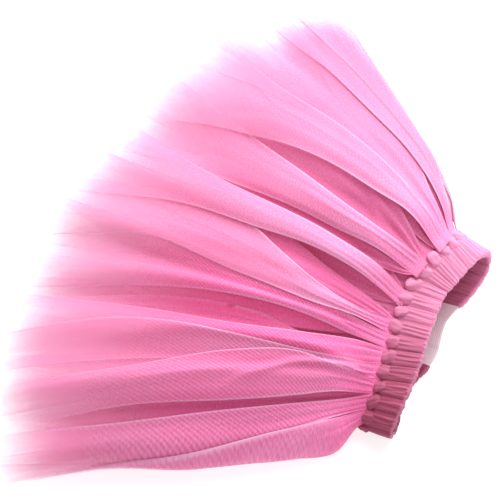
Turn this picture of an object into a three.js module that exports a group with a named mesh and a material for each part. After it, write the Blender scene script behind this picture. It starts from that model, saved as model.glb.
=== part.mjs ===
// Dog tutu: a skirt of tulle strips, each looped over a ring of elastic with a cow-hitch knot.
// It lies on its side. The waist opening faces +X, the hem fans out towards -X, +Z is up,
// and the lowest layer of strips is flat on the surface at Z = 0. All lengths are in millimetres.
import * as THREE from "three";

// ---- Driving dimensions ------------------------------------------------------------------------
const ELASTIC_WIDTH = 13.2; // across the flat elastic, from its knot edge to its rim
const ELASTIC_THICK = 1.2;
const LAP_THICK = 2.2; // where the two ends of the elastic are sewn over each other
const KNOT_PLACES = 34; // equal places for knots round the elastic
const BARE_FROM = 24; // first place with no strip, on the lower side, where the elastic is joined
const BARE_PLACES = 5;
const LAP_PLACES = 2; // how many of those places the sewn lap covers
const WALL = 1.0; // thickness of a gathered tulle strip
const SEAM = 0.44; // clearance between a strip and the elastic
const LAYERS = 4; // strips lie over their neighbours in this many layers
const LAYER_ORDER = [0, 2, 1, 3]; // the layers that strips next to each other are in, 0 innermost
const LAYER_STEP = 1.42; // from one layer to the next where they are pressed flat
const LAYER_LOFT = 2.6; // extra step between layers where the skirt puffs up
const SKIRT_LENGTH = 196; // from the knots to the hem at the middle
const SKIRT_LENGTH_NEAR = 190; // the same along the fold towards -Y
const SKIRT_LENGTH_FAR = 173; // and along the fold towards +Y
const FAN_NEAR = 32; // degrees that the skirt opens towards -Y
const FAN_FAR = 46; // degrees that it opens towards +Y
const SHOULDER_RISE = 14; // how far the upper layers climb just behind the knots
const PUFF_HEIGHT = 47; // height of the innermost upper layer at its fullest
const HEM_HEIGHT = 21; // height of the innermost upper layer at the hem
const FLOOR_INNER = WALL / 2 + (LAYERS - 1) * LAYER_STEP; // innermost layer lying on the surface
const SPREAD_LEAST = 1.66; // half a strip's width at the hem, in places, of the narrowest strip
const SPREAD_MOST = 1.93; // and of the widest
const OPENED_BY = 0.42; // share of the skirt's length where a strip has spread fully
const SHORTEST_CUT = 0.89; // the shortest strip's length, as a share of the longest
const CORNER_CUT = 0.02; // how much shorter a strip is at its corners
const SLANT = 0.03; // most that one corner hangs lower than the middle
const FLUTE_DEPTH = 3.4; // soft flutes down the skirt, at the hem
const LEAN = 1.1; // places that the strips beside the bare stretch lean over it at the hem
const LEAN_REACH = 4; // places from the bare stretch to the last strip that leans
const HALF_WAIST = 61; // half the width of the flattened waist

// The waistband's course, a row for each place, from the far fold over the top to the near fold and
// back underneath. edge is the elastic's knot edge, rim points to its free edge, and rise says how
// much the cloth there puffs up: 1 on top, 0 on the surface.
const WAIST = [
  { place: "far fold", edge: [-9, 61, 18], rim: [4, 60, 15], rise: 0.42 },
  { place: "far shoulder", edge: [-11, 49, 34], rim: [1, 48, 27], rise: 0.85 },
  { place: "top, far", edge: [-15, 30, 40], rim: [-5.5, 28, 32], rise: 1 },
  { place: "top, centre", edge: [-20.5, 10, 38], rim: [-10.5, 12, 34.5], rise: 1 },
  { place: "top, near", edge: [-20.5, -11, 34], rim: [-9.5, -11, 36], rise: 1 },
  { place: "slope, near", edge: [-18, -31, 29], rim: [-7.5, -31, 33.5], rise: 0.95 },
  { place: "near shoulder", edge: [-17.5, -49, 22.5], rim: [-8, -51, 28.5], rise: 0.75 },
  { place: "near fold", edge: [-19, -60, 12], rim: [-9, -62.5, 17.5], rise: 0.38 },
  { place: "bottom, near", edge: [-21.5, -47, 3.2], rim: [-9, -47.5, 3.2], rise: 0 },
  { place: "bottom, slack", edge: [-23.5, -27, 3.2], rim: [-10.5, -28.5, 3.2], rise: 0 },
  { place: "bottom, join", edge: [-16.5, -5, 3.2], rim: [-3.5, -5, 3.2], rise: 0 },
  { place: "bottom, centre", edge: [-18, 18, 3.2], rim: [-5, 19, 3.2], rise: 0 },
  { place: "bottom, far", edge: [-12, 38, 3.2], rim: [1.5, 39, 3.2], rise: 0 },
  { place: "far underside", edge: [-8.5, 55, 6.5], rim: [4.5, 55, 5.5], rise: 0.06 },
];

// The course of a strip over the elastic, in its own section: along is from the knot edge (0) to the
// rim, out is away from the elastic's middle, on the outside of the ring. thick is the cloth there.
const FACE = ELASTIC_THICK / 2 + SEAM + WALL / 2;
const RIM_TURN = ELASTIC_WIDTH + SEAM + WALL / 2;
const HITCH = [
  { along: 1.2, out: -FACE, thick: WALL },
  { along: 6.5, out: -FACE, thick: WALL },
  { along: ELASTIC_WIDTH, out: -FACE, thick: WALL },
  { along: RIM_TURN + 0.2, out: -0.85, thick: WALL },
  { along: RIM_TURN + 0.2, out: 0.85, thick: WALL },
  { along: ELASTIC_WIDTH, out: FACE, thick: WALL },
  { along: 6.5, out: FACE, thick: WALL },
  { along: 0.5, out: FACE, thick: WALL },
  { along: -1.1, out: 0.9, thick: 3.2 },
  { along: -3.6, out: 0.5, thick: 4.3 },
  { along: -6.0, out: 0.2, thick: 2.3 },
];
const TAIL_START = -8; // along, where the tails leave the knot
const ELASTIC_EDGE = 1.4; // the elastic starts this far inside the knots

// ---- Small helpers -----------------------------------------------------------------------------
const V = (x, y, z) => new THREE.Vector3(x, y, z);
const clamp01 = (x) => Math.min(1, Math.max(0, x));
const smooth = (from, to, x) => THREE.MathUtils.smoothstep(x, from, to);
const lerp = THREE.MathUtils.lerp;
const uneven = (index, salt) => (index * 0.618034 + salt * 0.7548777) % 1; // 0 to 1, evenly spread

// ---- The ring ----------------------------------------------------------------------------------
const closedCurve = (points) => new THREE.CatmullRomCurve3(points, true, "catmullrom", 0.5);
const edgeCurve = closedCurve(WAIST.map((row) => V(...row.edge)));
edgeCurve.arcLengthDivisions = 1400;
const widthCurve = closedCurve(WAIST.map((row) => V(...row.rim).sub(V(...row.edge)).normalize()));
const riseCurve = closedCurve(WAIST.map((row) => V(row.rise, 0, 0)));

// A share of the way round the ring as the curves' own parameter.
const parameterAt = (share) => edgeCurve.getUtoTmapping(((share % 1) + 1) % 1);

// The band's section at a share of the way round: its knot edge, the way to its rim, the way out.
function sectionAt(share) {
  const t = parameterAt(share);
  const edge = edgeCurve.getPoint(t);
  const along = widthCurve.getPoint(t).normalize();
  const out = edgeCurve.getTangent(t).cross(along).normalize();
  const at = (a, o) => edge.clone().addScaledVector(along, a).addScaledVector(out, o);
  return { edge, along, out, at };
}

// ---- The skirt's innermost layer, from the knots (down = 0) to the hem (down = 1) ---------------------
function courseAt(share) {
  const t = parameterAt(share);
  const { edge, at } = sectionAt(share);
  const rise = clamp01(riseCurve.getPoint(t).x);
  const side = THREE.MathUtils.clamp(edge.y / HALF_WAIST, -1, 1);
  const heading = THREE.MathUtils.degToRad(side * (side > 0 ? FAN_FAR : FAN_NEAR));
  const fan = V(-Math.cos(heading), Math.sin(heading), 0);
  const reach = lerp(SKIRT_LENGTH, side > 0 ? SKIRT_LENGTH_FAR : SKIRT_LENGTH_NEAR, side ** 4);
  const start = at(TAIL_START, 0);
  const leave = V(-Math.cos(heading * 1.1), Math.sin(heading * 1.1), 0);
  const shoulder = start.clone().addScaledVector(leave, reach * 0.2);
  shoulder.z = lerp(FLOOR_INNER, start.z + SHOULDER_RISE, rise);
  const hem = start.clone().addScaledVector(fan, reach + TAIL_START);
  const puff = hem.clone().addScaledVector(fan, -reach * 0.45);
  hem.z = lerp(FLOOR_INNER, HEM_HEIGHT, rise);
  puff.z = lerp(FLOOR_INNER, PUFF_HEIGHT, rise);
  return { curve: new THREE.CubicBezierCurve3(start, shoulder, puff, hem), rise };
}

const NUDGE = 0.002; // step for working out the surface's normal
function skirtAt(share, down) {
  const here = courseAt(share);
  const point = here.curve.getPoint(down);
  const fore = courseAt(share + NUDGE).curve.getPoint(down);
  const aft = courseAt(share - NUDGE).curve.getPoint(down);
  const around = fore.sub(aft);
  const out = here.curve.getTangent(Math.min(down, 1)).cross(around).normalize();
  return { point, out, rise: here.rise };
}

// Soft flutes that run down the skirt, the same in every layer so that the layers nest.
function fluteAt(share, down, rise) {
  const turn = share * Math.PI * 2;
  const depth = FLUTE_DEPTH * smooth(0.05, 0.75, down) * rise;
  const fine = Math.sin(turn * 18 + 1.7 * down + 0.8 * Math.sin(turn * 3));
  const broad = Math.sin(turn * 7 + 2.4 * down);
  return depth * (0.55 * fine + 0.75 * broad);
}

// ---- Solids ------------------------------------------------------------------------------------
// Joins two rows of points, which may differ in number, by triangles.
function joinRows(faces, rowA, rowB) {
  let i = 0;
  let j = 0;
  while (i < rowA.length - 1 || j < rowB.length - 1) {
    const nextA = (i + 1) / (rowA.length - 1);
    const nextB = (j + 1) / (rowB.length - 1);
    if (j === rowB.length - 1 || (i < rowA.length - 1 && nextA <= nextB)) {
      faces.push(rowA[i], rowB[j], rowA[i + 1]);
      i += 1;
    } else {
      faces.push(rowA[i], rowB[j], rowB[j + 1]);
      j += 1;
    }
  }
}

// A closed wall through stations, each with a row of points on its outer and its inner side.
function wallGeometry(stations) {
  const positions = [];
  const faces = [];
  const add = (point) => {
    positions.push(point.x, point.y, Math.max(0, point.z));
    return positions.length / 3 - 1;
  };
  const rows = stations.map(({ outer, inner }) => ({ outer: outer.map(add), inner: inner.map(add) }));
  const rim = (row) => ({ left: [row.outer[0], row.inner[0]], right: [row.inner.at(-1), row.outer.at(-1)] });
  for (let k = 0; k < rows.length - 1; k += 1) {
    const [row, next] = [rows[k], rows[k + 1]];
    joinRows(faces, row.outer, next.outer);
    joinRows(faces, [...row.inner].reverse(), [...next.inner].reverse());
    joinRows(faces, [...rim(row).left].reverse(), [...rim(next).left].reverse());
    joinRows(faces, [...rim(row).right].reverse(), [...rim(next).right].reverse());
  }
  joinRows(faces, rows[0].inner, rows[0].outer);
  joinRows(faces, rows.at(-1).outer, rows.at(-1).inner);
  const geometry = new THREE.BufferGeometry();
  geometry.setAttribute("position", new THREE.Float32BufferAttribute(positions, 3));
  geometry.setIndex(faces);
  geometry.computeVertexNormals();
  return geometry;
}

const PITCH = 1 / KNOT_PLACES;
const HITCH_HALF_WIDTH = 0.44; // of a place

// The strip's turn over the elastic and its knot, as stations for a wall.
function hitchStations(place, cells) {
  const middle = (place + 0.5) * PITCH;
  return HITCH.map(({ along, out, thick }, k) => {
    const before = HITCH[Math.max(0, k - 1)];
    const after = HITCH[Math.min(HITCH.length - 1, k + 1)];
    const run = new THREE.Vector2(after.along - before.along, after.out - before.out).normalize();
    const station = { outer: [], inner: [] };
    for (let cell = 0; cell <= cells; cell += 1) {
      const across = (cell / cells) * 2 - 1;
      const section = sectionAt(middle + across * HITCH_HALF_WIDTH * PITCH);
      const crown = (1 - across * across) * 0.3;
      const half = (thick / 2) * (thick > WALL ? 1 - 0.35 * across * across : 1);
      const outward = half + crown;
      station.outer.push(section.at(along + run.y * outward, out - run.x * outward));
      station.inner.push(section.at(along - run.y * half, out + run.x * half));
    }
    return station;
  });
}

// The strip's tails, which lie together as one gathered wall and spread out towards the hem.
// Every strip uses the same fold lines, a fixed part of a place apart, so that layers nest.
const TAIL_ROWS = [0, 0.045, 0.11, 0.19, 0.3, 0.44, 0.62, 0.8]; // and then its own hem
function foldLines(from, to, spacing) {
  const lines = [from];
  for (let line = Math.ceil(from / spacing); line * spacing < to; line += 1) {
    const at = line * spacing;
    if (at - from > spacing * 0.3 && to - at > spacing * 0.3) lines.push(at);
  }
  return [...lines, to];
}

// How far a strip leans over the bare stretch, as a share of the way round.
function leanOf(place) {
  const fromBare = place + 0.5 - BARE_FROM - BARE_PLACES / 2;
  const beyond = Math.abs(fromBare) - (BARE_PLACES + 1) / 2;
  return -Math.sign(fromBare) * LEAN * Math.max(0, 1 - beyond / LEAN_REACH) * PITCH;
}

function tailStations(place, spacing) {
  const middle = (place + 0.5) * PITCH;
  const order = (place + KNOT_PLACES - BARE_FROM - BARE_PLACES) % KNOT_PLACES;
  const layer = LAYER_ORDER[order % LAYERS];
  const spread = lerp(SPREAD_LEAST, SPREAD_MOST, uneven(place, 1));
  const cut = lerp(SHORTEST_CUT, 1, uneven(place, 2));
  const slant = lerp(-SLANT, SLANT, uneven(place, 3));
  const lean = leanOf(place);
  return [...TAIL_ROWS, cut].map((share, row) => {
    const hem = row === TAIL_ROWS.length;
    const opened = Math.min(1, share / OPENED_BY) ** 0.7;
    const halfWidth = lerp(HITCH_HALF_WIDTH, spread, opened) * PITCH;
    const heart = middle + lean * opened;
    const station = { outer: [], inner: [] };
    for (const at of foldLines(heart - halfWidth, heart + halfWidth, spacing * PITCH)) {
      const across = (at - heart) / halfWidth;
      const down = hem ? share - CORNER_CUT * across * across + slant * across : share;
      const { point, out, rise } = skirtAt(at, down);
      const step = LAYER_STEP + LAYER_LOFT * rise * smooth(0.02, 0.4, down);
      const bunched = (1 - smooth(0, 0.16, down)) * LAYER_STEP * (LAYERS - 1) / 2;
      const lift = layer * step - bunched + fluteAt(at, down, rise);
      station.outer.push(point.clone().addScaledVector(out, lift + WALL / 2));
      station.inner.push(point.clone().addScaledVector(out, lift - WALL / 2));
    }
    return station;
  });
}

const ELASTIC_STEPS = 4; // for each place
function elasticGeometry() {
  const steps = KNOT_PLACES * ELASTIC_STEPS;
  const lapFrom = BARE_FROM + (BARE_PLACES - LAP_PLACES) / 2;
  const positions = [];
  const faces = [];
  for (let step = 0; step < steps; step += 1) {
    const place = step / ELASTIC_STEPS;
    const lapped = place > lapFrom && place < lapFrom + LAP_PLACES;
    const half = ELASTIC_THICK / 2;
    const inside = lapped ? LAP_THICK - half : half;
    const section = sectionAt(place * PITCH);
    const corners = [
      section.at(ELASTIC_EDGE, half),
      section.at(ELASTIC_WIDTH, half),
      section.at(ELASTIC_WIDTH, -inside),
      section.at(ELASTIC_EDGE, -inside),
    ];
    corners.forEach((corner) => positions.push(corner.x, corner.y, corner.z));
    for (let side = 0; side < 4; side += 1) {
      const a = step * 4 + side;
      const b = step * 4 + ((side + 1) % 4);
      const c = ((step + 1) % steps) * 4 + side;
      const d = ((step + 1) % steps) * 4 + ((side + 1) % 4);
      faces.push(a, c, b, c, d, b);
    }
  }
  const geometry = new THREE.BufferGeometry();
  geometry.setAttribute("position", new THREE.Float32BufferAttribute(positions, 3));
  geometry.setIndex(faces);
  geometry.computeVertexNormals();
  return geometry;
}

// ---- The tutu ----------------------------------------------------------------------------------
const tulle = new THREE.MeshStandardMaterial({ name: "tulle", color: 0xf57fb6, roughness: 0.85, metalness: 0 });
const elastic = new THREE.MeshStandardMaterial({ name: "elastic", color: 0xe9cdd6, roughness: 0.8, metalness: 0 });

const tutu = new THREE.Group();
tutu.name = "dog_tutu";

const waistband = new THREE.Mesh(elasticGeometry(), elastic);
waistband.name = "waistband_elastic";
tutu.add(waistband);

// How finely a strip is divided: cells across its knot, and fold lines per place in its tails. Strips
// that bend round the two side folds are divided most, those flat on the surface least.
const FINENESS = {
  folded: { hitchCells: 4, foldSpacing: 0.3 },
  raised: { hitchCells: 2, foldSpacing: 0.5 },
  lying: { hitchCells: 2, foldSpacing: 1 },
};
function finenessAt(place) {
  if (place < 3 || place > 29 || (place > 13 && place < 22)) return FINENESS.folded;
  return place < 14 ? FINENESS.raised : FINENESS.lying;
}

for (let place = 0; place < KNOT_PLACES; place += 1) {
  const bare = place >= BARE_FROM && place < BARE_FROM + BARE_PLACES;
  if (bare) continue;
  const { hitchCells, foldSpacing } = finenessAt(place);
  const stations = [...hitchStations(place, hitchCells), ...tailStations(place, foldSpacing)];
  const strip = new THREE.Mesh(wallGeometry(stations), tulle);
  strip.name = `tulle_strip_${String(place + 1).padStart(2, "0")}`;
  tutu.add(strip);
}

// The origin is on the surface, under the middle of the whole garment's outline.
const box = new THREE.Box3().setFromObject(tutu);
const centre = box.getCenter(V(0, 0, 0));
tutu.position.set(-centre.x, -centre.y, -box.min.z);

export default tutu;
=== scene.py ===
# Dog tutu: strips of tulle knotted over a ring of elastic, lying on its side.
import math
import bpy
import numpy as np
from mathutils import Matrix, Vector


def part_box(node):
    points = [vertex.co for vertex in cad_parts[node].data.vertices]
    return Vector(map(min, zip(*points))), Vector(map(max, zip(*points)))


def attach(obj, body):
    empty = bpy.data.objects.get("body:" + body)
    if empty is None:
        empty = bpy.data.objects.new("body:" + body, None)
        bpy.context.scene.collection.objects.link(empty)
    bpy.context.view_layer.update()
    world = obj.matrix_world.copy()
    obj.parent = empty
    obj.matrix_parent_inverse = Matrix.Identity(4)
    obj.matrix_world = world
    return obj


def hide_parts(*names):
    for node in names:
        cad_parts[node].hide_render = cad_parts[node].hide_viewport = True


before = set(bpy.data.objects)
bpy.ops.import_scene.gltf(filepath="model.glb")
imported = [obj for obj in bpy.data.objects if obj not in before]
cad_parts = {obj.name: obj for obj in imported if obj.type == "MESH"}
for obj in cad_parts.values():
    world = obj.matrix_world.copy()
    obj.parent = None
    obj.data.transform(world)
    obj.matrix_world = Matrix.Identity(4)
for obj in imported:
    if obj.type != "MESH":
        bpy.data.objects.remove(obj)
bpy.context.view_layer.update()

# ---- Sizes, in millimetres unless a line says otherwise ----------------------------------------
MM = 0.001
KNOT_PLACES = 34
PITCH = 1 / KNOT_PLACES
BARE_FROM, BARE_PLACES = 24, 5  # places with no strip
ELASTIC_WIDTH, ELASTIC_THICK, LAP_THICK, ELASTIC_EDGE = 13.2, 1.2, 2.2, 1.4
LAP_FROM, LAP_PLACES = 25.5, 2  # in places
WALL = 1.0
LAYERS = 4
LAYER_ORDER = (0, 2, 1, 3)
LAYER_STEP, LAYER_LOFT = 1.42, 2.6
SKIRT_LENGTH, SKIRT_NEAR, SKIRT_FAR = 196, 190, 173
FAN_NEAR, FAN_FAR = 32, 46  # in degrees
SHOULDER_RISE, PUFF_HEIGHT, HEM_HEIGHT = 14, 47, 21
FLOOR_INNER = WALL / 2 + (LAYERS - 1) * LAYER_STEP
SHOULDER_AT, PUFF_BACK = 0.2, 0.45  # shares of the skirt's length, from the knots and from the hem
LEAVE_WIDER = 1.1  # the strips leave the knots this much wider apart than they fan
HALF_WAIST = 61
TAIL_START = -8  # where the tails leave the knot
FLUTE_DEPTH = 3.4
FINE_FLUTES, BROAD_FLUTES = 18, 7  # so many round the ring
OPENED_BY = 0.42  # the share of the skirt's length where a strip has spread fully
KNOTTED_HALF = 0.5  # half a strip's width at its knot, in places
STRIP_WIDTH = 60
LOOP_AND_KNOT = 46  # of each strip's length, taken up by its turn over the elastic and its knot
# How many steps the ring is measured in, and two small shares of it that show which way its surfaces face.
ROUND_STEPS, SMALL_TURN, NUDGE = 1400, 1e-4, 0.002

# The waistband's course: its knot edge, its rim, and how much the cloth puffs up there.
WAIST = [
    ((-9, 61, 18), (4, 60, 15), 0.42),
    ((-11, 49, 34), (1, 48, 27), 0.85),
    ((-15, 30, 40), (-5.5, 28, 32), 1),
    ((-20.5, 10, 38), (-10.5, 12, 34.5), 1),
    ((-20.5, -11, 34), (-9.5, -11, 36), 1),
    ((-18, -31, 29), (-7.5, -31, 33.5), 0.95),
    ((-17.5, -49, 22.5), (-8, -51, 28.5), 0.75),
    ((-19, -60, 12), (-9, -62.5, 17.5), 0.38),
    ((-21.5, -47, 3.2), (-9, -47.5, 3.2), 0),
    ((-23.5, -27, 3.2), (-10.5, -28.5, 3.2), 0),
    ((-16.5, -5, 3.2), (-3.5, -5, 3.2), 0),
    ((-18, 18, 3.2), (-5, 19, 3.2), 0),
    ((-12, 38, 3.2), (1.5, 39, 3.2), 0),
    ((-8.5, 55, 6.5), (4.5, 55, 5.5), 0.06),
]


# ---- Small helpers -----------------------------------------------------------------------------
def unit(vectors):
    return vectors / np.linalg.norm(vectors, axis=-1, keepdims=True)


def smooth(start, end, x):
    t = np.clip((np.asarray(x, float) - start) / (end - start), 0, 1)
    return t * t * (3 - 2 * t)


def between(rise_from, rise_to, fall_from, fall_to, x):
    """1 from rise_to to fall_from, and softly down to 0 on each side."""
    return smooth(rise_from, rise_to, x) * (1 - smooth(fall_from, fall_to, x))


def lerp(a, b, t):
    return a + (b - a) * t


GOLDEN_STEP, SALT_STEP = 0.618034, 0.7548777


def uneven(index, salt):
    """0 to 1, evenly spread over the pieces."""
    return (index * GOLDEN_STEP + salt * SALT_STEP) % 1


def through(knots, values, x):
    """A soft curve through a short row of values."""
    knots, values = np.asarray(knots, float), np.asarray(values, float)
    slopes = np.gradient(values, knots)
    x = np.clip(x, knots[0], knots[-1])
    i = np.clip(np.searchsorted(knots, x, side="right") - 1, 0, len(knots) - 2)
    gap = knots[i + 1] - knots[i]
    w = (x - knots[i]) / gap
    return ((2 * w**3 - 3 * w**2 + 1) * values[i] + (w**3 - 2 * w**2 + w) * gap * slopes[i]
            + (-2 * w**3 + 3 * w**2) * values[i + 1] + (w**3 - w**2) * gap * slopes[i + 1])


class Loop:
    """A smooth closed curve through rows of values."""

    def __init__(self, rows):
        self.rows = np.asarray(rows, float)

    def __call__(self, t):
        count = len(self.rows)
        x = (np.asarray(t, float) % 1.0) * count
        i = np.floor(x).astype(int)
        w = (x - i)[..., None]
        p = [self.rows[(i + k) % count] for k in (-1, 0, 1, 2)]
        leave, arrive = (p[2] - p[0]) / 2, (p[3] - p[1]) / 2
        return ((2 * w**3 - 3 * w**2 + 1) * p[1] + (w**3 - 2 * w**2 + w) * leave
                + (-2 * w**3 + 3 * w**2) * p[2] + (w**3 - w**2) * arrive)


# ---- The ring and the skirt's form, the same as the solids' -------------------------------------
EDGES = np.array([edge for edge, rim, rise in WAIST], float)
RIMS = np.array([rim for edge, rim, rise in WAIST], float)
edge_loop = Loop(EDGES)
width_loop = Loop(unit(RIMS - EDGES))
rise_loop = Loop([[rise] for edge, rim, rise in WAIST])
ROUND = np.linspace(0, 1, ROUND_STEPS + 1)
RUN = np.concatenate([[0], np.cumsum(np.linalg.norm(np.diff(edge_loop(ROUND), axis=0), axis=1))])


def parameter_at(share):
    return np.interp(np.asarray(share, float) % 1.0, RUN / RUN[-1], ROUND)


def section_at(share):
    """The band's knot edge, the way to its rim, the way out and the way round."""
    t = parameter_at(share)
    along = unit(width_loop(t))
    round_way = unit(edge_loop(t + SMALL_TURN) - edge_loop(t - SMALL_TURN))
    return edge_loop(t), along, unit(np.cross(round_way, along)), round_way


def course_at(share):
    """The innermost layer's way from knot to hem as four points, its rise and the skirt's length."""
    t = parameter_at(share)
    edge, along, _, _ = section_at(share)
    rise = np.clip(rise_loop(t)[..., 0], 0, 1)
    side = np.clip(edge[..., 1] / HALF_WAIST, -1, 1)
    heading = np.radians(side * np.where(side > 0, FAN_FAR, FAN_NEAR))
    level = np.zeros_like(heading)
    fan = np.stack([-np.cos(heading), np.sin(heading), level], -1)
    leave = np.stack([-np.cos(heading * LEAVE_WIDER), np.sin(heading * LEAVE_WIDER), level], -1)
    reach = lerp(SKIRT_LENGTH, np.where(side > 0, SKIRT_FAR, SKIRT_NEAR), side**4)[..., None]
    start = edge + along * TAIL_START
    shoulder = start + leave * reach * SHOULDER_AT
    shoulder[..., 2] = lerp(FLOOR_INNER, start[..., 2] + SHOULDER_RISE, rise)
    hem = start + fan * (reach + TAIL_START)
    puff = hem - fan * reach * PUFF_BACK
    hem[..., 2] = lerp(FLOOR_INNER, HEM_HEIGHT, rise)
    puff[..., 2] = lerp(FLOOR_INNER, PUFF_HEIGHT, rise)
    return (start, shoulder, puff, hem), rise, reach[..., 0]


def bezier(course, down):
    d = np.asarray(down, float)[..., None]
    a, b, c, e = course
    return (1 - d)**3 * a + 3 * (1 - d)**2 * d * b + 3 * (1 - d) * d**2 * c + d**3 * e


def bezier_slope(course, down):
    d = np.asarray(down, float)[..., None]
    a, b, c, e = course
    return 3 * (1 - d)**2 * (b - a) + 6 * (1 - d) * d * (c - b) + 3 * d**2 * (e - c)


def skirt_at(share, down):
    """A point of the innermost layer, the way out, the rise and the skirt's length there."""
    course, rise, reach = course_at(share)
    around = bezier(course_at(share + NUDGE)[0], down) - bezier(course_at(share - NUDGE)[0], down)
    out = unit(np.cross(bezier_slope(course, np.clip(down, 0, 1)), around))
    return bezier(course, down), out, rise, reach


def flute_at(share, down, rise):
    """The soft flutes that run down the skirt."""
    turn = share * math.tau
    depth = FLUTE_DEPTH * smooth(0.05, 0.75, down) * rise
    fine = np.sin(turn * FINE_FLUTES + 1.7 * down + 0.8 * np.sin(turn * 3))
    broad = np.sin(turn * BROAD_FLUTES + 2.4 * down)
    return depth * (0.55 * fine + 0.75 * broad)


def layer_lift(layer, down, rise):
    """How high a layer lies over the innermost one, drawn together at the knots."""
    step = LAYER_STEP + LAYER_LOFT * rise * smooth(0.02, 0.4, down)
    bunched = (1 - smooth(0, 0.16, down)) * LAYER_STEP * (LAYERS - 1) / 2
    return layer * step - bunched


def elastic_low_corner():
    """The lowest corner of the elastic's box, before the garment is moved to its place."""
    place = np.arange(KNOT_PLACES * 4) / 4
    edge, along, out, _ = section_at(place * PITCH)
    lapped = (place > LAP_FROM) & (place < LAP_FROM + LAP_PLACES)
    half = ELASTIC_THICK / 2
    inside = np.where(lapped, LAP_THICK - half, half)[:, None]
    corners = [edge + along * a + out * o for a in (ELASTIC_EDGE, ELASTIC_WIDTH) for o in (half, -inside)]
    return np.min(np.concatenate(corners), axis=0)


ELASTIC_LOW = np.array(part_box("waistband_elastic")[0])
MOVED = ELASTIC_LOW - elastic_low_corner() * MM

# ---- Camera ------------------------------------------------------------------------------------
AIM = Vector((-0.00791, -0.01073, 0.03195))
CAMERA_AZIMUTH, CAMERA_HEIGHT, CAMERA_AWAY = math.radians(23), math.radians(55), 0.8
MM_PER_PIXEL, FRAME_PIXELS, SENSOR = 0.52, 500, 36
back = Vector((
    math.sin(CAMERA_AZIMUTH) * math.cos(CAMERA_HEIGHT),
    -math.cos(CAMERA_AZIMUTH) * math.cos(CAMERA_HEIGHT),
    math.sin(CAMERA_HEIGHT),
))
bpy.ops.object.camera_add(location=AIM + back * CAMERA_AWAY)
camera = bpy.context.object
camera.name = "camera"
camera.rotation_mode = "QUATERNION"
camera.rotation_quaternion = back.to_track_quat("Z", "Y")
camera.data.sensor_width = SENSOR
camera.data.lens = SENSOR * (CAMERA_AWAY / MM / MM_PER_PIXEL) / FRAME_PIXELS
camera.data.clip_start, camera.data.clip_end = 0.01, 20
bpy.context.scene.camera = camera


# ---- Materials ---------------------------------------------------------------------------------
class Wire:
    """A socket that can be added, taken away and multiplied."""

    def __init__(self, paint, socket):
        self.paint, self.socket = paint, socket

    def maths(self, kind, *values):
        return self.paint.node("ShaderNodeMath", {"operation": kind}, dict(enumerate(values)))

    def __add__(self, other):
        return self.maths("ADD", self, other)

    def __radd__(self, other):
        return self.maths("ADD", other, self)

    def __sub__(self, other):
        return self.maths("SUBTRACT", self, other)

    def __rsub__(self, other):
        return self.maths("SUBTRACT", other, self)

    def __mul__(self, other):
        return self.maths("MULTIPLY", self, other)

    def __rmul__(self, other):
        return self.maths("MULTIPLY", other, self)

    def sine(self):
        return self.maths("SINE", self)

    def clamped(self):
        return self.maths("MINIMUM", self.maths("MAXIMUM", self, 0.0), 1.0)


class Paint:
    """A material and its nodes."""

    def __init__(self, name):
        self.material = bpy.data.materials.new(name)
        self.material.use_nodes = True
        self.tree = self.material.node_tree
        self.surface = self.tree.nodes["Principled BSDF"]

    def node(self, kind, settings=None, inputs=None, output=0):
        made = self.tree.nodes.new(kind)
        for name, value in (settings or {}).items():
            setattr(made, name, value)
        self.feed(made, inputs or {})
        return Wire(self, made.outputs[output])

    def feed(self, made, inputs):
        for name, value in inputs.items():
            if isinstance(value, Wire):
                self.tree.links.new(value.socket, made.inputs[name])
            else:
                made.inputs[name].default_value = value

    def parts(self, vector):
        split = self.node("ShaderNodeSeparateXYZ", None, {0: vector})
        outputs = split.socket.node.outputs
        return [Wire(self, outputs[k]) for k in range(3)]

    def vector(self, x, y, z):
        return self.node("ShaderNodeCombineXYZ", None, {"X": x, "Y": y, "Z": z})

    def noise(self, vector, scale, detail=2.0, roughness=0.5):
        return self.node("ShaderNodeTexNoise", None, {
            "Vector": vector, "Scale": scale, "Detail": detail, "Roughness": roughness})

    def mixed(self, factor, first, second):
        """Two colours, mixed."""
        made = self.tree.nodes.new("ShaderNodeMix")
        made.data_type = "RGBA"
        for socket, value in ((made.inputs[0], factor), (made.inputs[6], first), (made.inputs[7], second)):
            if isinstance(value, Wire):
                self.tree.links.new(value.socket, socket)
            else:
                socket.default_value = value
        return Wire(self, made.outputs[2])

    def finish(self, inputs):
        self.feed(self.surface, inputs)
        return self.material


# DEEP_PINK is the net's own dye. PAINTED_SHEEN_LILAC is a painted sheen: the whitish glint of the threads
# where a single layer lies in full light.
DEEP_PINK, PAINTED_SHEEN_LILAC = (0.98, 0.135, 0.42, 1), (0.85, 0.40, 0.62, 1)
# WRAP_SHADE and WRAP_LIT: lit and shaded copies of the gathered net's pink, for painted light and painted
# shade.
WRAP_SHADE, WRAP_LIT = (0.32, 0.055, 0.11, 1), (0.90, 0.32, 0.54, 1)
# ELASTIC_SHADE and ELASTIC_LIT: the elastic's pale pink, painted a little greyer for the shade it lies in, and
# darker between the cords as painted shade.
ELASTIC_SHADE, ELASTIC_LIT = (0.82, 0.67, 0.73, 1), (0.92, 0.81, 0.86, 1)
FLOOR_DARK, FLOOR_PALE, FLOOR_GLOW = (0.50, 0.50, 0.50, 1), (0.54, 0.54, 0.54, 1), 0.72
SHEEN = (1.0, 0.82, 0.94, 1)
NET_SLANT_ACROSS, NET_SLANT_ALONG = 0.86, 0.50  # the net's rows run 30 degrees off its length
# In metres: one hole of the net, the bunched net's threads, and the elastic's cords and picks.
NET_PITCH = 0.0014
BUNCHED_ACROSS, BUNCHED_ALONG = 0.0006, 0.0009
CORD_PITCH, PICK_PITCH = 0.0011, 0.0007


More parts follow.
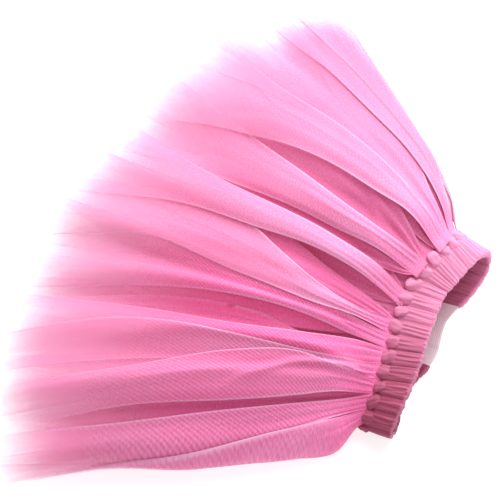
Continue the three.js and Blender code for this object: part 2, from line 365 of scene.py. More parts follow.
def tulle_paint():
    """Soft nylon net: a painted sheen makes it paler where a single layer catches the light; deep pink where
    it is gathered.
    """
    paint = Paint("tulle")
    cloth = paint.node("ShaderNodeAttribute", {"attribute_name": "cloth"})
    cover, painted_sheen, edge_and_highlight = paint.parts(cloth)
    netted = Wire(paint, cloth.socket.node.outputs["Alpha"])
    across, along, _ = paint.parts(paint.node("ShaderNodeUVMap", {"uv_map": "cut"}))
    turn = math.tau / NET_PITCH
    turn_across, turn_along = turn * NET_SLANT_ACROSS, turn * NET_SLANT_ALONG
    twill = (across * turn_across + along * turn_along).sine()
    cross = (across * turn_across - along * turn_along).sine()
    net = (twill * 0.75 + cross * 0.25) * netted
    grain = paint.noise(paint.vector(across * 900, along * 900, 2.0), 1.0, 2.0, 0.6) - 0.5
    streaks = paint.noise(paint.vector(across * 300, along * 10, 0.0), 1.0, 3.0, 0.6) - 0.5
    mottle = paint.noise(paint.vector(across * 60, along * 30, 0.0), 1.0, 2.0, 0.5) - 0.5
    thicker = 1 + net * 0.18 + grain * 0.8 + streaks * 0.3 + mottle * 0.2
    see = (cover * thicker + edge_and_highlight * 0.45).clamped()
    ground = painted_sheen * (1 + mottle * 0.5)
    # pale: how far the colour goes towards the painted sheen, with the net's pattern, random grain and
    # streaks, and a painted highlight at the folded edges.
    pale = (ground + net * 0.20 + grain * 0.5 + streaks * 0.22 + edge_and_highlight * 0.75).clamped()
    return paint.finish({
        "Base Color": paint.mixed(pale, DEEP_PINK, PAINTED_SHEEN_LILAC),
        "Alpha": see,
        "Roughness": 0.75,
        "Specular IOR Level": 0.25,
        "Sheen Weight": 0.25,
        "Sheen Roughness": 0.45,
        "Sheen Tint": SHEEN,
    })


def gathered_paint():
    """The same net bunched up tight in the knots and over the elastic."""
    paint = Paint("gathered_tulle")
    across, along, _ = paint.parts(paint.node("ShaderNodeUVMap", {"uv_map": "cut"}))
    ribs = paint.noise(paint.vector(across * 900, along * 60, 0.0), 1.0, 3.0, 0.6)
    weave = (across * (math.tau / BUNCHED_ACROSS)).sine() * (along * (math.tau / BUNCHED_ALONG)).sine()
    lit = paint.parts(paint.node("ShaderNodeAttribute", {"attribute_name": "cloth"}))[1]
    # Painted shade and light: the colour darkens in the troughs of the ribs and weave, which are also its
    # bump, and follows the painted light, rim highlight and inside shade in the look.
    pale = ((ribs - 0.5) * 1.2 + weave * 0.10 + lit).clamped()
    height = ribs + weave * 0.15
    bump = paint.node("ShaderNodeBump", None, {"Height": height, "Distance": 0.00025, "Strength": 0.6})
    return paint.finish({
        "Base Color": paint.mixed(pale, WRAP_SHADE, WRAP_LIT),
        "Normal": bump,
        "Roughness": 0.75,
        "Specular IOR Level": 0.25,
        "Sheen Weight": 0.2,
        "Sheen Roughness": 0.45,
        "Sheen Tint": SHEEN,
    })


def elastic_paint():
    """Knitted elastic, pale pink, with fine cords along it."""
    paint = Paint("elastic")
    across, along, _ = paint.parts(paint.node("ShaderNodeUVMap", {"uv_map": "cut"}))
    cords = (across * (math.tau / CORD_PITCH)).sine() * 0.5 + 0.5
    picks = (along * (math.tau / PICK_PITCH)).sine() * 0.5 + 0.5
    height = cords * 0.7 + picks * 0.3
    bump = paint.node("ShaderNodeBump", None, {"Height": height, "Distance": 0.0002, "Strength": 0.7})
    return paint.finish({
        # Painted shade: the colour is darker where the cords and picks dip, as the bump is.
        "Base Color": paint.mixed(height, ELASTIC_SHADE, ELASTIC_LIT),
        "Normal": bump,
        "Roughness": 0.8,
        "Specular IOR Level": 0.2,
    })


def floor_paint():
    """Plain pale paper, evenly lit."""
    paint = Paint("pale_floor")
    where = paint.node("ShaderNodeTexCoord", None, None, 3)
    grain = paint.noise(where, 3.0, 2.0)
    return paint.finish({
        "Base Color": paint.mixed(grain, FLOOR_DARK, FLOOR_PALE),
        "Roughness": 0.9,
        "Specular IOR Level": 0.1,
        "Emission Color": (1, 1, 1, 1),
        "Emission Strength": FLOOR_GLOW,
    })


# ---- Making cloth ------------------------------------------------------------------------------
NO_AREA = 1e-13  # in square metres: a face below this is left out


class Cloth:
    """Grids of points that are gathered into one piece."""

    def __init__(self):
        self.points, self.faces, self.cut, self.look, self.slots = [], [], [], [], []

    def grid(self, points, cut, look, slot, flip=False, closed=False, capped=False):
        """Rows of points. cut: their place on the flat cloth. look: see tail_look. closed: a tube."""
        rows, columns = points.shape[:2]
        first = sum(len(p) for p in self.points)
        index = first + np.arange(rows * columns).reshape(rows, columns)
        ahead = np.roll(index, -1, axis=1) if closed else index[:, 1:]
        here = index if closed else index[:, :-1]
        quads = np.stack([here[:-1], here[1:], ahead[1:], ahead[:-1]], -1).reshape(-1, 4)
        self.faces.append(quads[:, ::-1] if flip else quads)
        self.points.append(points.reshape(-1, 3))
        self.cut.append(np.broadcast_to(cut, points.shape[:2] + (2,)).reshape(-1, 2))
        self.look.append(np.broadcast_to(look, points.shape[:2] + (4,)).reshape(-1, 4))
        self.slots.append(np.full(len(quads), slot))
        if capped:
            step = np.arange(columns // 2 - 1)
            for ring, turned in ((index[0], flip), (index[-1], not flip)):
                cap = ring[np.stack([step, step + 1, columns - 2 - step, columns - 1 - step], -1)]
                self.faces.append(cap[:, ::-1] if turned else cap)
                self.slots.append(np.full(len(cap), slot))

    def piece(self, name, paints):
        """One mesh of all the grids, in metres and in its place."""
        points = np.concatenate(self.points) * MM + MOVED
        faces, slots = np.concatenate(self.faces), np.concatenate(self.slots)
        cut, look = np.concatenate(self.cut) * MM, np.concatenate(self.look)
        # Where a cut edge isn't folded under, its columns lie on one line: those faces are left out.
        a, b, c, d = (points[faces[:, k]] for k in range(4))
        has_area = np.linalg.norm(np.cross(c - a, d - b), axis=1) > NO_AREA
        used, faces = np.unique(faces[has_area], return_inverse=True)
        faces, slots = faces.reshape(-1, 4), slots[has_area]
        points, cut, look = points[used], cut[used].astype(np.float32), look[used].astype(np.float32)
        mesh = bpy.data.meshes.new(name)
        mesh.from_pydata(points.tolist(), [], faces.tolist())
        for paint in paints:
            mesh.materials.append(paint)
        mesh.polygons.foreach_set("material_index", slots.astype(np.int32))
        mesh.polygons.foreach_set("use_smooth", np.ones(len(faces), bool))
        layer = mesh.uv_layers.new(name="cut")
        layer.data.foreach_set("uv", cut[faces.reshape(-1)].reshape(-1))
        mesh.attributes.new("cloth", "FLOAT_COLOR", "POINT").data.foreach_set("color", look.reshape(-1))
        mesh.update()
        made = bpy.data.objects.new(name, mesh)
        bpy.context.scene.collection.objects.link(made)
        return made


# ---- The skirt's main creases ------------------------------------------------------------------
# at and to: the place round the band where a crease starts and ends. start and end: how far down the
# skirt. bow: how far it bends sideways. height: a ridge, or a trough if below 0. width: in places.
CREASES = [
    {"at": 0.8, "to": 0.2, "start": 0.05, "end": 0.95, "bow": 0.3, "height": 2.2, "width": 0.30},
    {"at": 1.9, "to": 1.3, "start": 0.04, "end": 0.70, "bow": -0.2, "height": -1.4, "width": 0.24},
    {"at": 2.6, "to": 2.2, "start": 0.10, "end": 0.95, "bow": 0.3, "height": 2.5, "width": 0.28},
    {"at": 3.7, "to": 3.5, "start": 0.02, "end": 0.55, "bow": 0.2, "height": -1.9, "width": 0.26},
    {"at": 5.0, "to": 5.0, "start": 0.05, "end": 0.90, "bow": 0.2, "height": 3.1, "width": 0.42},
    {"at": 6.0, "to": 6.0, "start": 0.02, "end": 0.80, "bow": 0.2, "height": -2.3, "width": 0.24},
    {"at": 6.8, "to": 6.7, "start": 0.06, "end": 0.85, "bow": 0.2, "height": 2.5, "width": 0.36},
    {"at": 7.5, "to": 7.4, "start": 0.02, "end": 0.75, "bow": 0.1, "height": -2.4, "width": 0.17},
    {"at": 8.4, "to": 8.0, "start": 0.08, "end": 0.90, "bow": 0.2, "height": 2.4, "width": 0.34},
    {"at": 9.6, "to": 9.2, "start": 0.02, "end": 0.44, "bow": -0.3, "height": -2.2, "width": 0.42},
    {"at": 10.6, "to": 9.6, "start": 0.05, "end": 0.95, "bow": 0.5, "height": 2.1, "width": 0.34},
    {"at": 11.2, "to": 10.3, "start": 0.05, "end": 0.85, "bow": 0.5, "height": -1.4, "width": 0.14},
    {"at": 11.6, "to": 11.2, "start": 0.10, "end": 0.90, "bow": 0.0, "height": 1.7, "width": 0.25},
    {"at": 12.0, "to": 11.9, "start": 0.04, "end": 1.00, "bow": 0.2, "height": -2.8, "width": 0.42},
    {"at": 12.8, "to": 12.5, "start": 0.10, "end": 0.95, "bow": 0.3, "height": 2.2, "width": 0.30},
    {"at": 13.5, "to": 13.5, "start": 0.04, "end": 0.80, "bow": -0.6, "height": 1.9, "width": 0.30},
    {"at": 14.3, "to": 15.2, "start": 0.10, "end": 0.95, "bow": -0.2, "height": 2.2, "width": 0.30},
    {"at": 15.2, "to": 15.8, "start": 0.06, "end": 1.00, "bow": 0.1, "height": -2.2, "width": 0.24},
    {"at": 16.2, "to": 16.9, "start": 0.05, "end": 0.95, "bow": 0.2, "height": 2.0, "width": 0.30},
    {"at": 14.0, "to": 15.2, "start": 0.00, "end": 0.52, "bow": -0.9, "height": 2.6, "width": 0.15},
    {"at": 14.3, "to": 14.8, "start": 0.38, "end": 0.68, "bow": -0.1, "height": 1.6, "width": 0.14},
    {"at": 17.4, "to": 17.7, "start": -0.02, "end": 0.75, "bow": 0.1, "height": 7.0, "width": 1.00},
    {"at": 18.8, "to": 18.4, "start": -0.04, "end": 0.30, "bow": 0.0, "height": 8.0, "width": 0.90},
    {"at": 17.1, "to": 17.6, "start": 0.05, "end": 0.90, "bow": 0.1, "height": -1.2, "width": 0.26},
]
BIG_FOLD = 5  # creases higher than this stand out at the near side's fold too
RAISED_GAIN, FOLDED_GAIN = 1.2, 5  # how soon creases start where the skirt rises from the surface
CREASE_STARTS_OVER, CREASE_ENDS_BEFORE, CREASE_ENDS_AFTER = 0.15, 0.2, 0.05


def creases_at(place, down, rise):
    """Soft ridges and troughs, the same in every layer so that the layers nest."""
    lift = np.zeros(np.broadcast(place, down).shape)
    raised = np.minimum(1, rise * RAISED_GAIN)
    folded = np.minimum(1, rise * FOLDED_GAIN)
    for crease in CREASES:
        start, end = crease["start"], crease["end"]
        t = np.clip((down - start) / (end - start), 0, 1)
        line = lerp(crease["at"], crease["to"], t) + crease["bow"] * np.sin(math.pi * t)
        fades = between(start, start + CREASE_STARTS_OVER,
                        end - CREASE_ENDS_BEFORE, end + CREASE_ENDS_AFTER, down)
        across = np.exp(-(((place - line) / crease["width"]) ** 2))
        lift += crease["height"] * fades * across * (folded if crease["height"] > BIG_FOLD else raised)
    return lift


# ---- Outer sheets ------------------------------------------------------------------------------
# The tails that lie on top, each from its knot at a place. Their two cut edges are given, in places
# round the band, at each of these shares of the way down, the first being the knot itself.
# painted_sheen: 1 is pale lilac, 0 deep pink; it is a painted sheen, set lower on the near side's sheets as
# painted shade. over: how high it lies over the layer below.
EDGE_AT = (0.0, 0.15, 0.30, 0.50, 0.75, 1.0)
OUTER_SHEETS = {
    0: dict(far=(-0.6, -1.1, -1.5, -1.8, -2.2), near=(1.0, 1.3, 1.5, 1.6, 1.8), painted_sheen=0.75, over=0.9),
    2: dict(far=(1.6, 1.1, 0.8, 0.4, 0.0), near=(2.95, 2.95, 2.8, 2.6, 2.7), painted_sheen=0.75, over=1.7),
    3: dict(far=(3.1, 2.8, 2.6, 2.3, 2.0), near=(4.0, 4.25, 4.35, 4.6, 5.0), painted_sheen=0.65, over=0.9),
    4: dict(far=(4.25, 4.3, 4.25, 4.3, 3.9), near=(5.2, 5.55, 5.75, 6.1, 6.6), painted_sheen=0.70, over=2.3),
    6: dict(far=(6.35, 6.5, 6.25, 5.9, 5.4), near=(7.2, 7.45, 7.45, 7.5, 7.8), painted_sheen=0.62, over=1.6),
    8: dict(far=(7.8, 7.8, 7.7, 7.4, 6.8), near=(8.7, 8.65, 8.75, 8.7, 9.1), painted_sheen=0.65, over=2.4),
    10: dict(far=(10.45, 10.1, 8.8, 8.2, 7.8), near=(11.0, 11.15, 10.85, 10.2, 10.4), painted_sheen=0.62, over=1.6),
    11: dict(far=(11.0, 10.8, 10.5, 9.9, 9.3), near=(11.9, 11.75, 11.65, 11.7, 11.9), painted_sheen=0.30, over=0.9),
    12: dict(far=(12.1, 12.4, 12.6, 12.3, 12.1), near=(13.4, 13.8, 14.0, 14.2, 14.4), painted_sheen=0.22, over=0.9),
    13: dict(far=(13.2, 13.25, 13.1, 12.9, 13.4), near=(14.2, 14.6, 15.0, 15.3, 15.6), painted_sheen=0.58, over=1.7),
    14: dict(far=(13.7, 13.35, 13.7, 14.5, 14.9), near=(14.9, 15.15, 15.45, 15.6, 16.0), painted_sheen=0.40, over=2.5),
    15: dict(far=(15.3, 15.5, 15.8, 16.1, 16.1), near=(16.2, 16.7, 17.2, 17.5, 17.9), painted_sheen=0.40, over=1.0),
    16: dict(far=(16.2, 16.5, 16.9, 17.1, 17.2), near=(17.4, 17.9, 18.4, 18.8, 19.2), painted_sheen=0.45, over=1.8),
    18: dict(far=(18.0, 17.9, 17.8, 17.8, 17.7), near=(19.2, 19.6, 20.0, 20.4, 20.8), painted_sheen=0.40, over=1.0),
    32: dict(far=(31.8, 31.5, 31.2, 30.9, 30.6), near=(33.0, 33.3, 33.6, 33.8, 34.0), painted_sheen=0.60, over=1.0),
}
SPREAD_LEAST, SPREAD_MOST = 1.66, 1.93  # half a hidden tail's width at the hem, in places
SLANT, CORNER_CUT = 0.03, 0.02  # in shares of the skirt's length
LEAN, LEAN_REACH = 1.1, 4  # in places: how far a strip leans over the bare stretch, and how many lean


def lean_of(place):
    """How far a strip leans over the bare stretch at its hem, in places."""
    from_bare = place + 0.5 - BARE_FROM - BARE_PLACES / 2
    beyond = abs(from_bare) - (BARE_PLACES + 1) / 2
    return -math.copysign(1, from_bare) * LEAN * max(0, 1 - beyond / LEAN_REACH)


def layer_of(place):
    """The layer that a strip is in, 0 innermost."""
    return LAYER_ORDER[((place + KNOT_PLACES - BARE_FROM - BARE_PLACES) % KNOT_PLACES) % LAYERS]


# ---- Tails -------------------------------------------------------------------------------------
TAIL_FROM = -0.03  # the tails start inside the knot
WIDER = {6: 1.1, 14: 1.35, 15: 1.25}  # the hidden tails of strips whose outer sheet is narrow
# cover: how much one flat layer hides. folds: pleats across it. deepest and flattest: their depth where
# the skirt rises and where it lies flat. tuck: the most that is folded under at each edge, in shares of
# the width. painted_sheen: as on the outer sheets. spread: its width against the widest. over: its height in
# its layer.
KINDS = {
    "inner": dict(salt=3, cover=0.50, folds=7, deepest=0.60, flattest=0.45, tuck=0.42,
                  painted_sheen=0.14, spread=1, over=-0.25),
    "middle": dict(salt=5, cover=0.50, folds=5, deepest=0.42, flattest=0.4, tuck=0.36,
                   painted_sheen=0.22, spread=0.93, over=0.3),
    "outer": dict(salt=7, cover=0.40, folds=3, deepest=0.18, flattest=0.25, tuck=0.40),
}
TUCK_COLUMNS, MAIN_COLUMNS = 12, 40
TUCK_UNDER = 0.6
ROWS_CLOSER_ABOVE, COLUMNS_CLOSER_AT_FOLD = 1.25, 1.3
FLAT_GAIN = 2.5  # how soon the cloth stops being pressed flat where the skirt rises
LOWEST = 0.15  # the undermost cloth's height over the surface
# The hem, in shares of the skirt's length there: how far down a tail is cut, and its ragged edge.
CUT_SHORT, CUT_LONG, CUT_UNEVEN = 0.99, 1.06, 0.05
FAR_LONGER, MIDDLE_LONGER, NEAR_SHORTER = 0.05, 0.02, 0.06
LONGEST, LONGEST_MORE_AT_FAR = 1.010, 0.062
HEM_JAGS = [
    {"waves": 7, "turn": 2.1, "salted": 1, "depth": 0.008},
    {"waves": 17, "turn": 4.7, "salted": 1, "depth": 0.005},
    {"waves": 41, "turn": 1.0, "salted": 0, "depth": 0.0025},
]
# How the cloth thins down its length: softly from half way, then fast at the very hem.
FADE_FROM, FADE_TO, FADE_BY = 0.50, 0.88, 0.50
HEM_FADE_FROM, HEM_FADE_BY = 0.885, 0.44
SELVEDGE_WIDTH = 0.6
HIDDEN_SELVEDGE, HIDDEN_NET = 0.4, 0.12  # how much of each shows on a tail that lies under another
# HEM_TONE: how pale the net is painted at the hem, a painted sheen.
HEM_TONE = 0.70


def hem_of(place, salt):
    """How far down a tail is cut in its middle, and its hem at each share across it."""
    far_end = float(1 - between(4, 7, 30, 32, place))
    cut = lerp(CUT_SHORT, CUT_LONG, uneven(place, 2)) - CUT_UNEVEN * uneven(place, salt)
    cut = (cut + FAR_LONGER * far_end + MIDDLE_LONGER * float(smooth(7, 9, place))
           - NEAR_SHORTER * float(between(14, 17, 20, 24, place)))
    slant = lerp(-SLANT, SLANT, uneven(place, 3 + salt))
    longest = LONGEST + LONGEST_MORE_AT_FAR * far_end

    def hem_at(a):
        jag = sum(np.sin(a * jag["waves"] + place * jag["turn"] + salt * jag["salted"]) * jag["depth"]
                  for jag in HEM_JAGS)
        return np.minimum(cut - CORNER_CUT * a**2 + slant * a, longest) + jag

    return cut, hem_at


def cut_edges(place, make, outer, down):
    """Where a tail's two cut edges lie, in places round the band, at each share of the way down."""
    if outer:
        far = through(EDGE_AT, (place + 0.5 - KNOTTED_HALF,) + outer["far"], down)
        near = through(EDGE_AT, (place + 0.5 + KNOTTED_HALF,) + outer["near"], down)
        return far, near
    opened = np.minimum(1, np.maximum(down, 0) / OPENED_BY) ** 0.6
    spread = lerp(SPREAD_LEAST, SPREAD_MOST, uneven(place, 1)) * make["spread"] * WIDER.get(place, 1)
    middle = place + 0.5 + lean_of(place) * opened
    sway = 0.25 * np.sin(down * 5 + place * 1.7 + make["salt"]) * opened
    half = lerp(KNOTTED_HALF, spread, opened)
    return middle - half + sway, middle + half + sway


def pleats_at(place, make, across, down, width, gather, flat):
    """The gathers along a tail: deep at the knot, shallower towards the hem."""
    phase = place * 2.3 + make["salt"]
    wander = 0.10 * np.sin(down * 4 + phase) + 0.05 * np.sin(across * 5 + phase)
    wave = math.pi * make["folds"] * (across + wander * (1 - across**2))
    slope = 0.55 + 0.8 * np.sqrt(np.maximum(gather - 1, 0))
    deepest = lerp(make["deepest"], make["flattest"], flat)
    swing = np.minimum(slope * width / make["folds"] / math.tau, deepest)
    swing = swing * (1 + 0.45 * np.sin(across * 3.1 + phase + 2 * down))
    swing = swing * (1 - 0.65 * smooth(0.12, 0.5, down))
    return (np.sin(wave + phase) + 0.25 * np.sin(2 * wave + 1.3 * phase)) * swing * smooth(-0.02, 0.04, down)


def tail_look(place, make, outer, across, share_place, down, end, width, gather):
    """How much the cloth hides, its painted sheen and painted light, its denser edge with a painted highlight,
    and how clear its net is.
    """
    # Painted light: far_side is 1 at the far side, where the light falls; the net is painted paler there and
    # deeper on the near side.
    far_side = 0.5 + 0.5 * np.cos((share_place * PITCH - 0.07) * math.tau)
    painted_sheen = outer["painted_sheen"] if outer else make["painted_sheen"] + 0.32 * far_side**2
    to_hem = down / end
    fade = 1 - FADE_BY * smooth(FADE_FROM, FADE_TO, to_hem)
    fade = fade - HEM_FADE_BY * smooth(HEM_FADE_FROM, 1.0, to_hem)
    fade = fade * (1 - 0.5 * smooth(0.65, 0.92, down) * between(14, 17, 20, 23, share_place))
    seen = (1 - (1 - make["cover"]) ** gather) * fade
    # By the knots the net is painted deep pink, paler on the far side as painted light; towards the hem it
    # goes to HEM_TONE.
    by_knot = lerp(0.2 + 0.3 * far_side, painted_sheen, smooth(0.02, 0.22, down))
    paler = lerp(by_knot, HEM_TONE, smooth(0.5, 0.9, down))
    # The folded cut edges are denser, so they hide more, and are painted paler as a painted highlight.
    edge_and_highlight = np.exp(-(((1 - np.abs(across)) * width / 2 / SELVEDGE_WIDTH) ** 2)) * smooth(0.03, 0.2, down)
    netted = (0.3 + 0.7 * between(9, 13, 14.5, 16.5, place)) * smooth(0.05, 0.3, down)
    netted = netted * (1 - 0.8 * smooth(0.6, 0.95, down))
    edge_and_highlight = edge_and_highlight * fade * (1 if outer else HIDDEN_SELVEDGE)
    netted = netted * (1 if outer else HIDDEN_NET)
    return np.stack([seen, paler, edge_and_highlight, netted], -1)


def tail(cloth, place, kind, rows):
    """One tail of a strip, with its two cut edges folded under where the skirt is narrower than the cloth.

    Gives its length below the knot, down its middle, before it is pleated.
    """
    make = KINDS[kind]
    outer = OUTER_SHEETS[place] if kind == "outer" else None
    t = (np.linspace(0, 1, rows + 1)[:, None]) ** ROWS_CLOSER_ABOVE
    main = np.linspace(-1, 1, MAIN_COLUMNS + 1)
    ease = np.linspace(1, 0, TUCK_COLUMNS + 1)[:-1] ** COLUMNS_CLOSER_AT_FOLD
    across = np.concatenate([0 * ease - 1, main, 0 * ease + 1])[None, :]
    under = np.concatenate([ease, 0 * main, ease[::-1]])[None, :]

    # Where its edges lie, and how much of it has to be folded under.
    cut, hem_at = hem_of(place, make["salt"])
    middle_down = TAIL_FROM + (cut - TAIL_FROM) * t
    far, near = cut_edges(place, make, outer, middle_down)
    across_skirt = skirt_at(near * PITCH, middle_down)[0] - skirt_at(far * PITCH, middle_down)[0]
    width = np.linalg.norm(across_skirt, axis=-1)
    tuck = np.clip((STRIP_WIDTH - width) / 2, 0, make["tuck"] * width)
    across = across - np.sign(across) * under * 2 * tuck / width
    end = hem_at(across)
    down = TAIL_FROM + (end - TAIL_FROM) * t
    share_place = lerp(far, near, (across + 1) / 2)
    share = share_place * PITCH

    # How high it lies over the innermost layer.
    point, out, rise, reach = skirt_at(share, down)
    gather = np.clip(STRIP_WIDTH / (width + 2 * tuck), 1, 5)
    flat = 1 - np.minimum(1, rise * FLAT_GAIN)
    layer, above = (LAYERS - 1, outer["over"]) if outer else (layer_of(place), make["over"])
    lift = layer_lift(layer, down, rise) + flute_at(share, down, rise)
    lift = lift + above * (1 - 0.5 * flat) * smooth(0, 0.1, down)
    lift = lift + creases_at(share_place, down, rise)
    lift = lift + pleats_at(place, make, across, down, width, gather, flat)
    lift = lift - TUCK_UNDER * (1 - 0.5 * flat) * smooth(0, 1.0, under * tuck) * smooth(0, 0.06, down)
    body = point + out * lift[..., None]
    body[..., 2] = np.maximum(body[..., 2], LOWEST)

    look = tail_look(place, make, outer, across, share_place, down, end, width, gather)
    cloth_across = STRIP_WIDTH / 2 + across * width / 2 + 2 * np.sign(across) * under * tuck
    cloth.grid(body, np.stack([cloth_across, down * reach], -1), look, 0)
    half_way = point.shape[1] // 2
    middle = point[down[:, half_way] >= 0, half_way]
    return np.linalg.norm(np.diff(middle, axis=0), axis=1).sum()


# ---- Wraps and knots ---------------------------------------------------------------------------
# How far from the band's knot edge a wrap begins inside, turns at the rim, and runs down outside.
WRAP_FROM, WRAP_RIM, WRAP_DOWN = 1.0, 13.0, 18.0
WRAP_HALF = 0.53  # in places
WRAP_THIN, WRAP_FULLER, WRAP_ROUND = 0.72, 1.2, 3.2  # its height at its sides, and its swell between them
BEAD_LONG, BEAD_WIDE, BEAD_HIGH = 3.75, 3.5, 2.3  # half its size each way
BEAD_TILTS, BEAD_SIZES = (-28, 22), (1.0, 1.22)  # in degrees, and in shares of the smallest
BEAD_ALONG, BEAD_OUT = (-4.2, -2.8), 0.6  # where its middle lies, from the band's knot edge
POLE = 0.02  # the beads' ends are closed this far from their axis, as an angle


def painted_light_at(place):
    """Painted light round the band: palest at the far side, where the light falls, deepest at the near side,
    in shade.
    """
    return 0.43 + 0.50 * math.cos((place / KNOT_PLACES - 0.03) * math.tau)


def wrap(cloth, place):
    """The strip's turn over the elastic, gathered into ribs."""
    columns, face_rows, turn_rows = 20, 12, 10
    c = np.linspace(-1, 1, columns + 1)
    slide = (uneven(place, 11) - 0.5) * 0.08
    pillow = WRAP_THIN + WRAP_FULLER * (1 - np.abs(c) ** WRAP_ROUND)
    path = [("inside", row / face_rows) for row in range(face_rows + 1)]
    path += [("rim", row / turn_rows) for row in range(1, turn_rows)]
    path += [("outside", row / face_rows) for row in range(face_rows + 1)]
    grid = []
    for where, t in path:
        skew = 0.14 * math.sin(place * 1.9 + t * 2.6)
        fan = 1 + (0.35 * t if where == "outside" else 0)
        ribs = (0.20 * np.cos((c * fan + skew) * math.pi * (2.2 + 1.1 * uneven(place, 9)) + place)
                + 0.13 * np.cos(c * fan * 11 + place * 3 + 2 * t)
                + 0.06 * np.cos(c * 19 + place * 5 - 3 * t))
        height = pillow + ribs * (1 - np.abs(c) ** 4)
        if where == "inside":
            along, out = WRAP_FROM + t * (WRAP_RIM - WRAP_FROM) + 0 * c, -height
        elif where == "rim":
            angle = -math.pi / 2 + t * math.pi
            along, out = WRAP_RIM + (0.35 + 0.5 * height) * math.cos(angle), height * math.sin(angle)
        else:
            neck = smooth(0.70, 0.95, t)
            along, out = WRAP_RIM - t * WRAP_DOWN + 0 * c, height * (1 - 0.75 * neck)
        edge, a, o, _ = section_at((place + 0.5 + slide + c * WRAP_HALF) * PITCH)
        grid.append(edge + a * np.asarray(along)[:, None] + o * np.asarray(out)[:, None])
    points = np.array(grid)
    cut_at = np.stack(np.broadcast_arrays((c[None, :] + 1) * 4, np.arange(len(path))[:, None] * 1.1), -1)
    row = np.arange(len(path))[:, None] - face_rows
    # Painted highlight where the cloth turns over the rim, and painted shade on the inside face, within the
    # ring.
    rim = 0.4 * np.exp(-(((row - turn_rows * 0.6) / 2.5) ** 2)) - 0.4 * (row < 0)
    look = np.stack(np.broadcast_arrays(1.0, rim + painted_light_at(place) + 0 * c, 0.0, 0.0), -1)
    cloth.grid(points, cut_at, look, 1)


def knot(cloth, place):
    """The bead where the strip's loop is drawn tight over its own tails."""
    rings, sides = 14, 22
    theta = np.linspace(POLE, math.pi - POLE, rings + 1)[:, None]
    phi = np.linspace(0, math.tau, sides + 1)[None, :-1]
    edge, a, o, w = section_at((place + 0.5) * PITCH)
    tilt = math.radians(lerp(*BEAD_TILTS, uneven(place, 13)))
    size = lerp(*BEAD_SIZES, uneven(place, 14))
    long_way = a * math.cos(tilt) + w * math.sin(tilt)
    cross_way = w * math.cos(tilt) - a * math.sin(tilt)
    wrinkle = 1 + 0.09 * np.cos(phi * 4 + place * 1.3 + 2.2 * theta) + 0.05 * np.cos(phi * 9 + place - theta)
    waist = 1 - lerp(0.06, 0.22, uneven(place, 15)) * np.exp(-(((theta - math.pi / 2) / 0.28) ** 2))
    ring = np.sin(theta) ** 0.72 * wrinkle * waist
    x = np.cos(theta) * BEAD_LONG * size + 0 * phi
    y = ring * np.cos(phi) * BEAD_WIDE * size
    z = ring * np.sin(phi) * BEAD_HIGH
    middle = edge + a * lerp(*BEAD_ALONG, uneven(place, 16)) + o * BEAD_OUT
    points = middle + x[..., None] * long_way + y[..., None] * cross_way + z[..., None] * o
    cut_at = np.stack(np.broadcast_arrays(phi * 3, theta * 4), -1)
    # The bead carries the band's painted light, a little paler.
    cloth.grid(points, cut_at, (1, painted_light_at(place) + 0.1, 0, 0), 1, flip=True, closed=True, capped=True)


TOP_BEFORE, TOP_AFTER = 20, 31  # the places between these lie underneath
TOP_ROWS, UNDER_ROWS = 60, 36


def strip_piece(place, paints):
    """A strip's two tails, its wrap and its knot, and the length that it is cut to."""
    cloth = Cloth()
    rows = TOP_ROWS if place < TOP_BEFORE or place > TOP_AFTER else UNDER_ROWS
    second = "outer" if place in OUTER_SHEETS else "middle"
    tails = tail(cloth, place, "inner", rows) + tail(cloth, place, second, rows)
    wrap(cloth, place)
    knot(cloth, place)
    return cloth.piece(f"tied_strip_{place + 1:02d}", paints), tails + LOOP_AND_KNOT


# ---- The elastic -------------------------------------------------------------------------------
LAP_STEP = 0.06  # in places
ELASTIC_STEPS, ELASTIC_SIDES = 8, 28  # steps for each place, and points round its section
EDGE_BOXED, FACE_BOXED = 0.22, 0.5  # 1 is an oval section, 0 a sharp-cornered one


def boxed(wave, power):
    """A sine or cosine pushed out towards a square's sides."""
    return np.sign(wave) * np.abs(wave) ** power


def elastic_piece(paint):
    """The ring of knitted elastic with rounded edges, its ends lapped."""
    stations = KNOT_PLACES * ELASTIC_STEPS
    place = np.arange(stations) / ELASTIC_STEPS
    edge, a, o, _ = section_at(place * PITCH)
    lap_to = LAP_FROM + LAP_PLACES
    lapped = between(LAP_FROM - LAP_STEP, LAP_FROM, lap_to, lap_to + LAP_STEP, place)
    outside = ELASTIC_THICK / 2
    inside = lerp(outside, LAP_THICK - outside, lapped)
    middle = (ELASTIC_EDGE + ELASTIC_WIDTH) / 2
    half = (ELASTIC_WIDTH - ELASTIC_EDGE) / 2
    psi = np.linspace(0, math.tau, ELASTIC_SIDES, endpoint=False)
    along = middle + half * boxed(np.cos(psi), EDGE_BOXED)
    up = boxed(np.sin(psi), FACE_BOXED)
    out = np.where(up[None, :] > 0, outside, inside[:, None]) * up[None, :]
    points = edge[:, None] + a[:, None] * along[None, :, None] + o[:, None] * out[..., None]
    points = np.concatenate([points, points[:1]])
    run = np.arange(stations + 1)[:, None] * RUN[-1] / stations
    cut_at = np.stack(np.broadcast_arrays(along[None, :], run), -1)
    cloth = Cloth()
    cloth.grid(points, cut_at, (1, 0, 0, 0), 0, closed=True)
    return cloth.piece("woven_elastic", [paint])


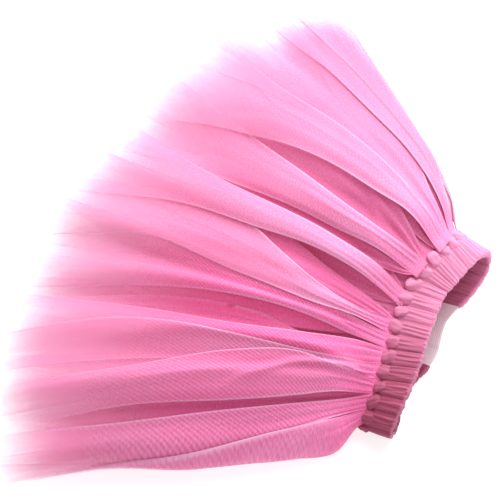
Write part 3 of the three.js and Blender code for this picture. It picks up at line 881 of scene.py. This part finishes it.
# ---- The pieces --------------------------------------------------------------------------------
strip_paints = [tulle_paint(), gathered_paint()]
elastic = elastic_piece(elastic_paint())
bpy.context.view_layer.objects.active = elastic
bpy.ops.object.select_all(action="DESELECT")
elastic.select_set(True)
bpy.ops.object.mode_set(mode="EDIT")
bpy.ops.mesh.select_all(action="SELECT")
bpy.ops.mesh.remove_doubles(threshold=1e-6)
bpy.ops.mesh.normals_make_consistent(inside=False)
bpy.ops.object.mode_set(mode="OBJECT")
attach(elastic, "root")
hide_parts("waistband_elastic")

for place in range(KNOT_PLACES):
    if BARE_FROM <= place < BARE_FROM + BARE_PLACES:
        continue
    strip, length = strip_piece(place, strip_paints)
    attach(strip, "root")
    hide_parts(f"tulle_strip_{place + 1:02d}")

# ---- Floor and light ---------------------------------------------------------------------------
# Places and sizes are in metres, power is in watts.
LIGHTS = {
    "main_light": dict(place=(-0.05, 0.60, 0.56), size=0.5, power=7.0, colour=(1, 0.99, 0.99)),
    "fill_light": dict(place=(0.10, 0.32, 1.0), size=0.8, power=6.0, colour=(1, 0.98, 1)),
}
FLOOR_SIZE, STUDIO_GLOW = 6, 0.60
# How many layers of net light may pass, and how often it may bounce, in all and off cloth.
NET_LAYERS_PASSED, BOUNCES, CLOTH_BOUNCES = 72, 8, 6

bpy.ops.object.select_all(action="DESELECT")
bpy.ops.mesh.primitive_plane_add(size=FLOOR_SIZE, location=(0, 0, 0))
floor = bpy.context.object
floor.name = "floor"
floor.data.materials.append(floor_paint())


def soft_box(name, place, size, power, colour):
    """A round soft light that faces the skirt."""
    bpy.ops.object.light_add(type="AREA", location=place)
    light = bpy.context.object
    light.name = name
    light.data.shape = "DISK"
    light.data.size = size
    light.data.energy = power
    light.data.color = colour
    light.rotation_mode = "QUATERNION"
    light.rotation_quaternion = (Vector(place) - AIM).to_track_quat("Z", "Y")


for name, light in LIGHTS.items():
    soft_box(name, **light)
world = bpy.data.worlds.new("studio")
world.use_nodes = True
world.node_tree.nodes["Background"].inputs["Color"].default_value = (1, 1, 1, 1)
world.node_tree.nodes["Background"].inputs["Strength"].default_value = STUDIO_GLOW
bpy.context.scene.world = world
bpy.context.scene.view_settings.view_transform = "Standard"
bpy.context.scene.cycles.transparent_max_bounces = NET_LAYERS_PASSED
bpy.context.scene.cycles.max_bounces = BOUNCES
bpy.context.scene.cycles.diffuse_bounces = CLOTH_BOUNCES
